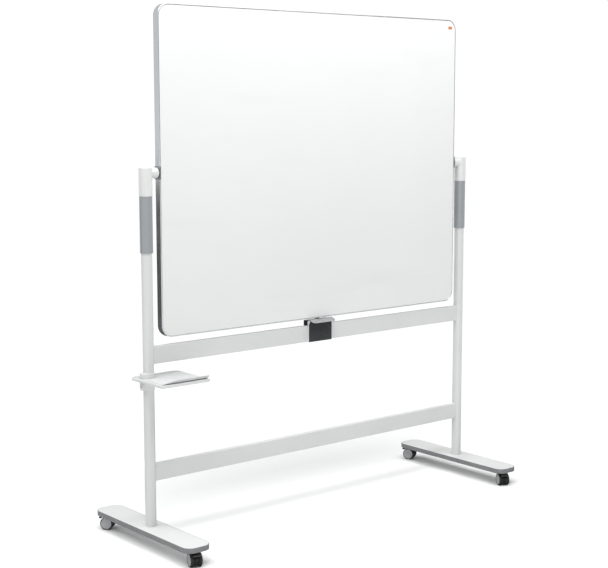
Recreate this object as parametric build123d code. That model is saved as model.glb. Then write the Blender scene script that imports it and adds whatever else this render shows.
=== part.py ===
from build123d import *
import os

# Rolling whiteboard: a double-sided board that turns over between two posts on castored feet.
# Millimetres. +X is to the right, the front faces -Y, +Z is up.
# The origin is on the floor, midway between the posts.

# ---------------------------------------------------------------- driving dimensions
# Board
BOARD_W = 1512.0
BOARD_H = 1200.0
BOARD_T = 30.0
BOARD_CORNER = 45.0
BOARD_BOTTOM = 775.0
PIVOT_Z = BOARD_BOTTOM + BOARD_H / 2
RIM_LIP = 4.5
RIM_WALL = 1.5
SHEET_T = 0.5
RIM_LIP_T = 1.4
SHEET_INSET = RIM_LIP + 0.3

# Stand
POST_X = 808.0
POST_SIZE = 38.0
POST_CORNER = 16.0
POST_WALL = 2.0
SLEEVE_SIZE = 44.0
SLEEVE_CORNER = 18.0
SLEEVE_BOTTOM = 1089.0
HEAD_SIZE = 45.0
HEAD_BOTTOM = 1293.0
HEAD_TOP = 1395.0
BOSS_R = 19.0
BEAM_H = 65.0
BEAM_T = 20.0
BEAM_WALL = 1.5
UPPER_BEAM_Z = 715.0
LOWER_BEAM_Z = 278.5
SPIGOT_LENGTH = 45.0

# Feet
FOOT_TOP = 77.0
FOOT_T = 19.0
FOOT_W = 110.0
FOOT_L = 630.0
FOOT_CORNER = 38.0
EDGE_BAND_T = 2.0

# Castors
CASTOR_Y = 267.0
CASTOR_TRAIL = 20.0
WHEEL_R = 25.0
WHEEL_W = 12.0
WHEEL_INNER = 10.0
TYRE_T = 3.5
AXLE_R = 3.0
STEM_R = 4.0
SPINE_HALF = 8.7
CASTOR_ANGLES = {
    "front_left": (-1, -1, 253.0),
    "front_right": (1, -1, 243.0),
    "back_left": (-1, 1, 127.0),
    "back_right": (1, 1, 113.0),
}

# Pivot, latch and tray
SHAFT_R = 6.0
RUNNING_GAP = 0.05
LATCH_X = -5.0
LATCH_HALF = 59.0
LEVER_PIN_Y = -17.0
LEVER_PIN_Z = 764.0
LEVER_PIN_R = 2.0
BOLT_TOP = 773.9
TRAY_TOP = 633.0
TRAY_T = 11.0
TRAY_LEFT = -855.0
TRAY_RIGHT = -645.0
TRAY_FRONT = -160.0
TRAY_BACK = 57.0
COLLAR_BOTTOM = 590.0
COLLAR_TOP = 652.0

# Fasteners: one button-head screw is used throughout the frame
SCREW_R = 3.0
SCREW_LENGTH = 14.0
SCREW_HEAD_R = 5.25
SCREW_HEAD_H = 3.0
SCREW_HOLE_R = 3.2

SIDES = (-1, 1)


# ---------------------------------------------------------------- helpers
def block(x0, x1, y0, y1, z0, z1):
    """A box between two corners."""
    centre = ((x0 + x1) / 2, (y0 + y1) / 2, (z0 + z1) / 2)
    return Pos(*centre) * Box(abs(x1 - x0), abs(y1 - y0), abs(z1 - z0))


def rod_x(radius, x0, x1, y, z):
    """A round bar along X."""
    return Pos((x0 + x1) / 2, y, z) * Rot(0, 90, 0) * Cylinder(radius, abs(x1 - x0))


def rod_y(radius, y0, y1, x, z):
    """A round bar along Y."""
    return Pos(x, (y0 + y1) / 2, z) * Rot(90, 0, 0) * Cylinder(radius, abs(y1 - y0))


def rod_z(radius, z0, z1, x, y):
    """A round bar along Z."""
    return Pos(x, y, (z0 + z1) / 2) * Cylinder(radius, abs(z1 - z0))


def prism(width, depth, corner, z0, z1, x=0.0, y=0.0):
    """An upright bar of rounded-rectangle section."""
    return Pos(x, y, z0) * extrude(RectangleRounded(width, depth, corner), z1 - z0)


def panel(inset, thickness, y=0.0):
    """An upright slab with the board's outline, drawn in by an inset."""
    outline = RectangleRounded(BOARD_W - 2 * inset, BOARD_H - 2 * inset, BOARD_CORNER - inset)
    return Pos(0, y, PIVOT_Z) * Rot(90, 0, 0) * extrude(outline, thickness / 2, both=True)


def screw():
    """A button-head screw: its head seats at z = 0 and its shank points up."""
    head = Pos(0, 0, -SCREW_HEAD_H / 2) * Cylinder(SCREW_HEAD_R, SCREW_HEAD_H)
    head = fillet(head.edges().group_by(Axis.Z)[0], SCREW_HEAD_H * 0.6)
    socket = Pos(0, 0, -SCREW_HEAD_H) * extrude(RegularPolygon(2.0, 6), 1.8)
    return head + Pos(0, 0, SCREW_LENGTH / 2) * Cylinder(SCREW_R, SCREW_LENGTH) - socket


# ---------------------------------------------------------------- board
KEEPER_W = 18.0
KEEPER_D = 12.0
KEEPER_DEPTH = 8.0
KEEPER_WALL = 2.0
CHANNEL_T = BOARD_T - 2 * RIM_LIP_T
TAG_W = 22.0
TAG_H = 12.0
TAG_CORNER = 2.0
TAG_INSET = 34.0


def keeper_block(width, depth, height):
    """Matching boxes inside the top and bottom edges of the board."""
    edge = BOARD_H / 2 - RIM_WALL
    middle = edge - height / 2
    pair = [Pos(LATCH_X, 0, PIVOT_Z + side * middle) * Box(width, depth, height) for side in SIDES]
    return pair[0] + pair[1]


def keeper_slot():
    """The opening that the latch bolt enters, at the top and the bottom edge."""
    reach = BOARD_H / 2 - RIM_WALL - KEEPER_DEPTH
    pair = []
    for side in SIDES:
        near = PIVOT_Z + side * reach
        far = PIVOT_Z + side * (BOARD_H / 2 + 1)
        pair.append(block(-KEEPER_W / 2, KEEPER_W / 2, -KEEPER_D / 2, KEEPER_D / 2, near, far))
    return Pos(LATCH_X, 0, 0) * (pair[0] + pair[1])


def board_rim():
    rim = panel(0, BOARD_T) - panel(RIM_LIP, BOARD_T + 2) - panel(RIM_WALL, CHANNEL_T)
    return rim - keeper_slot()


def board_core():
    """The honeycomb slab that fills the rim and carries both writing sheets."""
    pocket = keeper_block(KEEPER_W + 2 * KEEPER_WALL, KEEPER_D + 2 * KEEPER_WALL, KEEPER_DEPTH + KEEPER_WALL)
    return panel(RIM_WALL, CHANNEL_T) - pocket


def writing_sheet(side):
    """An enamelled sheet bonded to the core, inside the rim's lips."""
    return panel(SHEET_INSET, SHEET_T, side * (CHANNEL_T + SHEET_T) / 2) - corner_tag()


def latch_keepers():
    cups = keeper_block(KEEPER_W + 2 * KEEPER_WALL, KEEPER_D + 2 * KEEPER_WALL, KEEPER_DEPTH + KEEPER_WALL)
    return cups - keeper_slot()


def corner_tag():
    """A small plain rectangle of colour, let in flush at the top right of the front sheet."""
    tag = extrude(RectangleRounded(TAG_W, TAG_H, TAG_CORNER), SHEET_T)
    place = Pos(BOARD_W / 2 - TAG_INSET, -CHANNEL_T / 2, BOARD_BOTTOM + BOARD_H - TAG_INSET)
    return place * Rot(90, 0, 0) * tag


# ---------------------------------------------------------------- pivots
CLIP_T = 1.6
CLIP_H = 48.0
CLIP_CORNER = 3.0
SHAFT_LENGTH = 38.0
BOSS_END = BOARD_W / 2 + CLIP_T + 3.2
BUSH_FLANGE_R = 15.0
BUSH_FLANGE_T = 2.0
BUSH_R = 8.0
HEAD_POCKET_TOP = 1345.0
PARTING_SLOT_Y = (-6.0, -1.0)
PARTING_SLOT_BOTTOM = 1317.0
HEAD_SCREW_Z = 1308.0
HEAD_SCREW_HOLE_R = 3.0
SHAFT_END = BOARD_W / 2 + CLIP_T + SHAFT_LENGTH


def pivot_bracket(side):
    """A steel clip that wraps the rim and grips its lips, with the board's shaft welded to it."""
    edge = BOARD_W / 2
    half_t = BOARD_T / 2
    outer = block(edge - RIM_LIP, edge + CLIP_T, -half_t - CLIP_T, half_t + CLIP_T,
                  PIVOT_Z - CLIP_H / 2, PIVOT_Z + CLIP_H / 2)
    outer = fillet(outer.edges().filter_by(Axis.Z).sort_by(Axis.X)[-2:], CLIP_T)
    outer = fillet(outer.edges().filter_by(Axis.Y).sort_by(Axis.X)[:2], CLIP_CORNER)
    seat = block(edge - RIM_LIP - 1, edge, -half_t, half_t, BOARD_BOTTOM, BOARD_BOTTOM + BOARD_H)
    shaft = rod_x(SHAFT_R, edge + CLIP_T, SHAFT_END, 0, PIVOT_Z)
    shaft = chamfer(shaft.edges().sort_by(Axis.X)[-1], 1)
    bracket = outer - seat + shaft
    return bracket if side > 0 else mirror(bracket, Plane.YZ)


def pivot_bush(side):
    """A flanged plastic bush, pressed into the head's boss."""
    flange = rod_x(BUSH_FLANGE_R, BOSS_END - BUSH_FLANGE_T, BOSS_END, 0, PIVOT_Z)
    barrel = rod_x(BUSH_R, BOSS_END, SHAFT_END, 0, PIVOT_Z)
    bore = rod_x(SHAFT_R + RUNNING_GAP, BOSS_END - 5, SHAFT_END + 5, 0, PIVOT_Z)
    bush = flange + barrel - bore
    return bush if side > 0 else mirror(bush, Plane.YZ)


def pivot_head(side):
    """The moulded cap on a post, with the boss that carries the board."""
    inner_face = POST_X - HEAD_SIZE / 2
    cap = prism(HEAD_SIZE, HEAD_SIZE, SLEEVE_CORNER, HEAD_BOTTOM, HEAD_TOP, POST_X)
    cap = fillet(cap.edges().group_by(Axis.Z)[-1], 1.5)
    boss = rod_x(BOSS_R, BOSS_END, POST_X, 0, PIVOT_Z)
    boss = fillet(boss.edges().sort_by(Axis.X)[0], 2)
    pocket = prism(POST_SIZE, POST_SIZE, POST_CORNER, HEAD_BOTTOM - 1, HEAD_POCKET_TOP, POST_X)
    bush_seat = rod_x(BUSH_R, BOSS_END - 1, SHAFT_END + 2, 0, PIVOT_Z)
    slot = block(inner_face - 1, inner_face + 3, *PARTING_SLOT_Y, PARTING_SLOT_BOTTOM, PIVOT_Z - BOSS_R)
    screw_y = sum(PARTING_SLOT_Y) / 2
    screw_hole = rod_x(HEAD_SCREW_HOLE_R, inner_face - 1, inner_face + 3, screw_y, HEAD_SCREW_Z)
    head = cap + boss - pocket - bush_seat - slot - screw_hole
    return head if side > 0 else mirror(head, Plane.YZ)


# ---------------------------------------------------------------- posts, sleeves and beams
POST_FACE = POST_X - POST_SIZE / 2
INSERT_TOP = FOOT_TOP + 30.0
FOOT_SCREW_PITCH = 10.0
BEAM_SCREW_INSET = (12.0, 32.0)


def post(side):
    x = side * POST_X
    outer = prism(POST_SIZE, POST_SIZE, POST_CORNER, FOOT_TOP, HEAD_POCKET_TOP, x)
    inner_size = POST_SIZE - 2 * POST_WALL
    inner = prism(inner_size, inner_size, POST_CORNER - POST_WALL, FOOT_TOP - 1, HEAD_POCKET_TOP + 1, x)
    return outer - inner


def post_insert(side):
    """The steel block in the bottom of a post that the foot is screwed to."""
    size = POST_SIZE - 2 * POST_WALL
    insert = prism(size, size, POST_CORNER - POST_WALL, FOOT_TOP, INSERT_TOP, side * POST_X)
    for y in (-FOOT_SCREW_PITCH, FOOT_SCREW_PITCH):
        insert -= rod_z(SCREW_R, FOOT_TOP - 1, FOOT_TOP + 12, side * POST_X, y)
    return insert


def grip_sleeve(side):
    sleeve = prism(SLEEVE_SIZE, SLEEVE_SIZE, SLEEVE_CORNER, SLEEVE_BOTTOM, HEAD_BOTTOM, side * POST_X)
    sleeve = chamfer(sleeve.edges().group_by(Axis.Z)[0], 0.8)
    post_x = side * POST_X
    return sleeve - prism(POST_SIZE, POST_SIZE, POST_CORNER, SLEEVE_BOTTOM - 1, HEAD_BOTTOM + 1, post_x)


def beam_screw_places():
    """X and Z of each screw through the back of a beam into its spigot."""
    places = []
    for z in (UPPER_BEAM_Z, LOWER_BEAM_Z):
        for side in SIDES:
            for inset in BEAM_SCREW_INSET:
                places.append((side * (POST_FACE - inset), z))
    return places


def post_bore(z):
    """The rounded posts, as cutters for the coped beam ends."""
    ends = [prism(POST_SIZE, POST_SIZE, POST_CORNER, z - 50, z + 50, side * POST_X) for side in SIDES]
    return ends[0] + ends[1]


def beam(z):
    outer = Pos(0, 0, z) * Box(2 * POST_FACE + 6, BEAM_T, BEAM_H)
    outer = fillet(outer.edges().filter_by(Axis.X), 2)
    hollow = Pos(0, 0, z) * Box(2 * POST_FACE + 8, BEAM_T - 2 * BEAM_WALL, BEAM_H - 2 * BEAM_WALL)
    tube = outer - hollow - post_bore(z)
    for x, screw_z in beam_screw_places():
        if screw_z == z:
            tube -= rod_y(SCREW_HOLE_R, 0, BEAM_T, x, z)
    return tube


def beam_spigot(side, z):
    """The block fixed to a post that a beam's open end slides over."""
    thickness = BEAM_T - 2 * BEAM_WALL
    height = BEAM_H - 2 * BEAM_WALL
    spigot = block(side * POST_FACE, side * (POST_FACE - SPIGOT_LENGTH), -thickness / 2, thickness / 2,
                   z - height / 2, z + height / 2)
    for inset in BEAM_SCREW_INSET:
        spigot -= rod_y(SCREW_R, -6, BEAM_T, side * (POST_FACE - inset), z)
    return spigot


def frame_screws():
    """The twelve identical screws: two under each post and two in each beam end."""
    shapes = []
    for side in SIDES:
        for y in (-FOOT_SCREW_PITCH, FOOT_SCREW_PITCH):
            shapes.append(Pos(side * POST_X, y, FOOT_TOP - 7) * screw())
    for x, z in beam_screw_places():
        shapes.append(Pos(x, BEAM_T / 2, z) * Rot(90, 0, 0) * screw())
    return shapes


# ---------------------------------------------------------------- feet
SOCKET_R = 7.0
SOCKET_H = 16.0
STEM_BOTTOM = 34.0
FOOT_BOTTOM = FOOT_TOP - FOOT_T


def foot_deck(side):
    x = side * POST_X
    band = 2 * EDGE_BAND_T
    deck = prism(FOOT_W - band, FOOT_L - band, FOOT_CORNER - EDGE_BAND_T, FOOT_BOTTOM, FOOT_TOP, x)
    for y in (-CASTOR_Y, CASTOR_Y):
        deck -= rod_z(SOCKET_R, FOOT_BOTTOM - 1, FOOT_BOTTOM + SOCKET_H, x, y)
    for y in (-FOOT_SCREW_PITCH, FOOT_SCREW_PITCH):
        deck -= rod_z(SCREW_HOLE_R, FOOT_BOTTOM - 1, FOOT_TOP + 1, x, y)
        deck -= rod_z(SCREW_HEAD_R + 1, FOOT_BOTTOM - 1, FOOT_TOP - 7, x, y)
    return deck


def foot_edge(side):
    """The thin plastic band around a foot."""
    x = side * POST_X
    band = 2 * EDGE_BAND_T
    outer = prism(FOOT_W, FOOT_L, FOOT_CORNER, FOOT_BOTTOM, FOOT_TOP, x)
    return outer - prism(FOOT_W - band, FOOT_L - band, FOOT_CORNER - EDGE_BAND_T,
                         FOOT_BOTTOM - 1, FOOT_TOP + 1, x)


def castor_places():
    return [(sx * POST_X, sy * CASTOR_Y) for sx, sy, _ in CASTOR_ANGLES.values()]


def castor_socket(x, y):
    sleeve = rod_z(SOCKET_R, FOOT_BOTTOM, FOOT_BOTTOM + SOCKET_H, x, y)
    return sleeve - rod_z(STEM_R, FOOT_BOTTOM - 1, FOOT_BOTTOM + SOCKET_H + 1, x, y)


def castor_stem(x, y):
    stem = rod_z(STEM_R, STEM_BOTTOM, FOOT_BOTTOM + SOCKET_H, x, y)
    return chamfer(stem.edges().group_by(Axis.Z)[0], 0.8)


# ---------------------------------------------------------------- one castor, swivel axis at the origin
# In a castor's own frame the wheels trail along +X, and the axle lies along Y.
CROWN_BOTTOM = 51.2
CROWN_TOP = 57.2
PEDAL_PIVOT_X = 30.0
PEDAL_PIVOT_Z = 42.0
PEDAL_HALF = 17.0
PEDAL_END = 54.0
PEDAL_CORNER = 7.0
PEDAL_ARM_HALF = 4.4
TRUNNION_R = 2.0
SPINE_R = 23.5
SPINE_BOTTOM = 9.0
CROWN_L = 44.0
CROWN_W = 40.0
CROWN_X = 8.0
CROWN_CORNER = 15.0
TOWER_X = -11.0
TOWER_BOTTOM = 30.0
TOWER_TOP = 53.0
ARM_SLOT_X = 24.0
ARM_SLOT_BOTTOM = 35.0


def side_profile(points):
    """A face in the XZ plane through a list of corners."""
    return Plane.XZ * make_face(Polyline(points, close=True))


def castor_housing():
    """The spine between the wheels, the crown over them and the stem's bore."""
    disc = rod_y(SPINE_R, -SPINE_HALF, SPINE_HALF, CASTOR_TRAIL, WHEEL_R)
    disc -= block(-20, 60, -20, 20, -5, SPINE_BOTTOM)
    tower = block(TOWER_X, CASTOR_TRAIL, -SPINE_HALF, SPINE_HALF, TOWER_BOTTOM, TOWER_TOP)
    tower = fillet(tower.edges().filter_by(Axis.Y).sort_by(Axis.X)[:2], 5)
    crown = prism(CROWN_L, CROWN_W, CROWN_CORNER, CROWN_BOTTOM, CROWN_TOP, CROWN_X)
    crown = fillet(crown.edges().group_by(Axis.Z)[-1], 2)
    body = disc + tower + crown
    body -= rod_z(STEM_R + RUNNING_GAP, STEM_BOTTOM - 1, CROWN_TOP + 1, 0, 0)
    body -= rod_y(AXLE_R, -20, 20, CASTOR_TRAIL, WHEEL_R)
    arm_gap = PEDAL_ARM_HALF + 0.5
    body -= block(ARM_SLOT_X, PEDAL_END, -arm_gap, arm_gap, ARM_SLOT_BOTTOM, CROWN_BOTTOM)
    trunnion_r = TRUNNION_R + RUNNING_GAP
    return body - rod_y(trunnion_r, -SPINE_HALF - 1, SPINE_HALF + 1, PEDAL_PIVOT_X, PEDAL_PIVOT_Z)


def castor_axle():
    return rod_y(AXLE_R, -(WHEEL_INNER + 9), WHEEL_INNER + 9, CASTOR_TRAIL, WHEEL_R)


def castor_tyre(side):
    outer = rod_y(WHEEL_R, WHEEL_INNER, WHEEL_INNER + WHEEL_W, CASTOR_TRAIL, WHEEL_R)
    outer = fillet(outer.edges().filter_by(GeomType.CIRCLE), 1.5)
    tyre = outer - rod_y(WHEEL_R - TYRE_T, WHEEL_INNER - 1, WHEEL_INNER + WHEEL_W + 1, CASTOR_TRAIL, WHEEL_R)
    return tyre if side > 0 else mirror(tyre, Plane.XZ)


def castor_hub(side):
    """A wheel centre: closed and dished outside, with a blind bore for the axle inside."""
    rim = WHEEL_R - TYRE_T
    hub = rod_y(rim, WHEEL_INNER + 0.3, WHEEL_INNER + WHEEL_W - 0.3, CASTOR_TRAIL, WHEEL_R)
    dish = rod_y(rim - 3, WHEEL_INNER + WHEEL_W - 1.3, WHEEL_INNER + WHEEL_W, CASTOR_TRAIL, WHEEL_R)
    dome = rod_y(rim - 12, WHEEL_INNER + WHEEL_W - 1.5, WHEEL_INNER + WHEEL_W - 0.5, CASTOR_TRAIL, WHEEL_R)
    bore = rod_y(AXLE_R + RUNNING_GAP, WHEEL_INNER - 1, WHEEL_INNER + 9.5, CASTOR_TRAIL, WHEEL_R)
    hub = hub - dish + dome - bore
    return hub if side > 0 else mirror(hub, Plane.XZ)


def castor_pedal():
    """The brake pedal: a paddle over the wheels' trailing edge, on an arm with two trunnions."""
    paddle_points = [(32, 50.6), (50, 48.5), (53.5, 45.5), (52.5, 42.8), (46, 43.2), (41.5, 45.2), (32, 49)]
    paddle = extrude(side_profile(paddle_points), PEDAL_HALF, both=True)
    paddle &= prism(CROWN_L, 2 * PEDAL_HALF, PEDAL_CORNER, 0, CROWN_TOP, PEDAL_END - CROWN_L / 2)
    arm_points = [(27, 40), (31, 38.6), (35, 42), (44, 44.5), (40, 49), (33, 49.8), (27.5, 44.5)]
    arm = extrude(side_profile(arm_points), PEDAL_ARM_HALF, both=True)
    trunnion = rod_y(TRUNNION_R, -SPINE_HALF + 0.2, SPINE_HALF - 0.2, PEDAL_PIVOT_X, PEDAL_PIVOT_Z)
    return paddle + arm + trunnion


# ---------------------------------------------------------------- latch on the upper beam
BEAM_TOP = UPPER_BEAM_Z + BEAM_H / 2
BEAM_BOTTOM = UPPER_BEAM_Z - BEAM_H / 2
EAR_T = 5.0
EAR_INNER = LATCH_HALF - EAR_T
SADDLE_FRONT = -20.0
COVER_T = 2.0
PLATE_TOP = 757.0
HOUSING_FRONT = -12.0
HOUSING_BACK = 14.0
HOUSING_TOP = 768.0
HOUSING_WALL = 2.5
BOLT_HALF_W = 8.0
BOLT_HALF_D = 5.0
BOLT_BOTTOM = 754.0
TAIL_TIP_Z = 761.3
TAIL_SLOT_R = 2.5
LEVER_FRONT = -48.5
LEVER_CORNER = 10.0
LEVER_T = 2.4
FLAP_BACK = -16.5
FLAP_BACK_Z = 771.8
TAIL_HALF = 4.0


def latch_saddle():
    """The light moulding on the beam's front, with the two ears that hold the lever's pin."""
    body = block(-LATCH_HALF, LATCH_HALF, SADDLE_FRONT, -BEAM_T / 2, BEAM_BOTTOM, BEAM_TOP)
    lip = block(-LATCH_HALF, LATCH_HALF, SADDLE_FRONT, HOUSING_FRONT, BEAM_TOP, PLATE_TOP)
    saddle = body + lip
    for side in SIDES:
        inner = side * EAR_INNER
        outer = side * LATCH_HALF
        ear = block(inner, outer, LEVER_PIN_Y - 3, HOUSING_FRONT, PLATE_TOP, LEVER_PIN_Z)
        saddle += ear + rod_x(4.5, inner, outer, LEVER_PIN_Y, LEVER_PIN_Z)
    saddle -= rod_x(LEVER_PIN_R, -LATCH_HALF - 1, LATCH_HALF + 1, LEVER_PIN_Y, LEVER_PIN_Z)
    return saddle


def latch_cover():
    """The glossy dark plate over the saddle's front."""
    plate = block(-LATCH_HALF, LATCH_HALF, SADDLE_FRONT - COVER_T, SADDLE_FRONT, BEAM_BOTTOM, PLATE_TOP)
    return fillet(plate.edges().filter_by(Axis.Y), 2)


def latch_housing():
    """The box on top of the beam that guides the bolt."""
    box = block(-LATCH_HALF, LATCH_HALF, HOUSING_FRONT, HOUSING_BACK, BEAM_TOP, HOUSING_TOP)
    box = fillet(box.edges().filter_by(Axis.Z), 2)
    inner = block(-LATCH_HALF + HOUSING_WALL, LATCH_HALF - HOUSING_WALL, HOUSING_FRONT + HOUSING_WALL,
                  HOUSING_BACK - HOUSING_WALL, BEAM_TOP - 1, HOUSING_TOP - HOUSING_WALL)
    shell = box - inner
    for side in SIDES:
        shell += block(side * (BOLT_HALF_W + 0.5), side * (BOLT_HALF_W + 2.5), HOUSING_FRONT + HOUSING_WALL,
                       HOUSING_BACK - HOUSING_WALL, BEAM_TOP, HOUSING_TOP - HOUSING_WALL)
    shell -= block(-BOLT_HALF_W - 0.5, BOLT_HALF_W + 0.5, -BOLT_HALF_D - 0.5, BOLT_HALF_D + 0.5,
                   HOUSING_TOP - HOUSING_WALL - 1, HOUSING_TOP + 1)
    notch = TAIL_HALF + 1
    return shell - block(-notch, notch, HOUSING_FRONT - 1, 0, PLATE_TOP - 3, HOUSING_TOP + 1)


def latch_pin():
    return rod_x(LEVER_PIN_R, -LATCH_HALF, LATCH_HALF, LEVER_PIN_Y, LEVER_PIN_Z)


def latch_lever():
    """A broad curved flap on a web over its barrel, and a short tail behind it that lifts the bolt."""
    flap_line = ThreePointArc((FLAP_BACK, FLAP_BACK_Z), (-34, 769.4), (LEVER_FRONT, 760.9))
    flap = extrude(Plane.YZ * trace(flap_line, LEVER_T), LATCH_HALF, both=True)
    flap &= prism(2 * LATCH_HALF, 60, LEVER_CORNER, PLATE_TOP, HOUSING_TOP + 10, 0, LEVER_FRONT - 1 + 30)
    barrel_half = EAR_INNER - 0.7
    web = block(-barrel_half, barrel_half, LEVER_PIN_Y - 1.2, LEVER_PIN_Y + 1.2, LEVER_PIN_Z, FLAP_BACK_Z)
    barrel = rod_x(4, -barrel_half, barrel_half, LEVER_PIN_Y, LEVER_PIN_Z)
    tail_line = Line((LEVER_PIN_Y, LEVER_PIN_Z), (0, TAIL_TIP_Z))
    tail = extrude(Plane.YZ * trace(tail_line, 2), TAIL_HALF, both=True)
    tip = rod_x(1.5, -TAIL_HALF, TAIL_HALF, 0, TAIL_TIP_Z)
    bore = rod_x(LEVER_PIN_R + RUNNING_GAP, -LATCH_HALF, LATCH_HALF, LEVER_PIN_Y, LEVER_PIN_Z)
    return flap + web + barrel + tail + tip - bore


def latch_bolt():
    bolt = block(-BOLT_HALF_W, BOLT_HALF_W, -BOLT_HALF_D, BOLT_HALF_D, BOLT_BOTTOM, BOLT_TOP)
    bolt = chamfer(bolt.edges().group_by(Axis.Z)[-1], 1)
    half_w = BOLT_HALF_W + 1
    low = TAIL_TIP_Z - TAIL_SLOT_R
    return bolt - block(-half_w, half_w, -BOLT_HALF_D - 1, 2, low, TAIL_TIP_Z + TAIL_SLOT_R)


# ---------------------------------------------------------------- pen tray on the left post
RECESS_DEPTH = 2.0
POST_CLEARANCE = 0.3
TRAY_FRONT_CORNER = 9.0
TRAY_BACK_CORNER = 24.0
TRAY_RIM = 8.0
INSERT_FRONT = -140.0
INSERT_BACK = 46.0
INSERT_LEFT = -844.0
INSERT_RIGHT = -650.0
INSERT_T = 2.5
LIP_FRONT = -158.8
LIP_TOP = 648.2
COLLAR_LEFT = -841.0
COLLAR_RIGHT = -786.5
COLLAR_D = 45.0
COLLAR_CORNER = 20.0


def post_passage():
    """The hole that the tray's collar and plate leave for the post."""
    size = POST_SIZE + 2 * POST_CLEARANCE
    return prism(size, size, POST_CORNER + POST_CLEARANCE, COLLAR_BOTTOM - 5, COLLAR_TOP + 5, -POST_X)


def tray_slab(inset, bottom, top):
    """A slab with the tray's outline, rounder at the back than at the front, drawn in by an inset."""
    slab = block(TRAY_LEFT + inset, TRAY_RIGHT - inset, TRAY_FRONT + inset, TRAY_BACK - inset, bottom, top)
    corners = slab.edges().filter_by(Axis.Z).group_by(Axis.Y)
    slab = fillet(corners[0], TRAY_FRONT_CORNER - min(inset, TRAY_FRONT_CORNER - 2))
    return fillet(slab.edges().filter_by(Axis.Z).group_by(Axis.Y)[-1], TRAY_BACK_CORNER - inset)


def tray_base():
    """The tray's plate and the collar that slides on the post, moulded in one piece."""
    plate = tray_slab(0, TRAY_TOP - TRAY_T, TRAY_TOP)
    plate = fillet(plate.edges().group_by(Axis.Z)[0], 4)
    plate -= tray_slab(TRAY_RIM, TRAY_TOP - RECESS_DEPTH, TRAY_TOP + 1)
    plate -= tray_slab(TRAY_RIM - 2, 0, TRAY_TOP - RECESS_DEPTH - 2.5)
    collar = prism(COLLAR_RIGHT - COLLAR_LEFT, COLLAR_D, COLLAR_CORNER, COLLAR_BOTTOM, COLLAR_TOP,
                   (COLLAR_LEFT + COLLAR_RIGHT) / 2)
    collar = fillet(collar.edges().group_by(Axis.Z)[0] + collar.edges().group_by(Axis.Z)[-1], 2)
    screw_hole = rod_x(SCREW_R, COLLAR_LEFT - 1, -POST_X, 0, COLLAR_BOTTOM + 14)
    return plate + collar - post_passage() - screw_hole


def tray_insert():
    """The loose sheet in the tray, whose front edge curls up into a lip that tapers off at its left end."""
    floor = TRAY_TOP - RECESS_DEPTH
    middle = floor + INSERT_T / 2
    sheet = block(INSERT_LEFT, INSERT_RIGHT - 4, INSERT_FRONT, INSERT_BACK, floor, floor + INSERT_T)
    sheet = fillet(sheet.edges().filter_by(Axis.Z).group_by(Axis.Y)[-1], TRAY_BACK_CORNER - 10)
    lip_line = ThreePointArc((INSERT_FRONT, middle), (-151, 636.8), (LIP_FRONT, LIP_TOP - 1))
    lip = extrude(Plane.YZ * trace(lip_line, INSERT_T), INSERT_RIGHT - INSERT_LEFT)
    lip = Pos(INSERT_LEFT, 0, 0) * lip
    taper = [(INSERT_LEFT, floor), (INSERT_LEFT, floor + INSERT_T), (-838, 638), (-822, 643), (-800, 647),
             (-782, LIP_TOP), (INSERT_RIGHT, LIP_TOP), (INSERT_RIGHT, floor + 4), (INSERT_RIGHT - 4, floor)]
    lip &= Pos(0, LIP_FRONT, 0) * extrude(side_profile(taper), 30, both=True)
    passage = prism(COLLAR_RIGHT - COLLAR_LEFT + 2, COLLAR_D + 2, COLLAR_CORNER + 1, floor - 5, floor + 20,
                    (COLLAR_LEFT + COLLAR_RIGHT) / 2)
    return sheet + lip - passage


def tray_screw():
    """The headless screw through the collar that bears on the outer side of the post."""
    face = -POST_X - POST_SIZE / 2 - POST_CLEARANCE
    grub = rod_x(SCREW_R, face, COLLAR_LEFT + 1, 0, COLLAR_BOTTOM + 14)
    return grub - rod_x(1.5, COLLAR_LEFT, COLLAR_LEFT + 4, 0, COLLAR_BOTTOM + 14)


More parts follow.
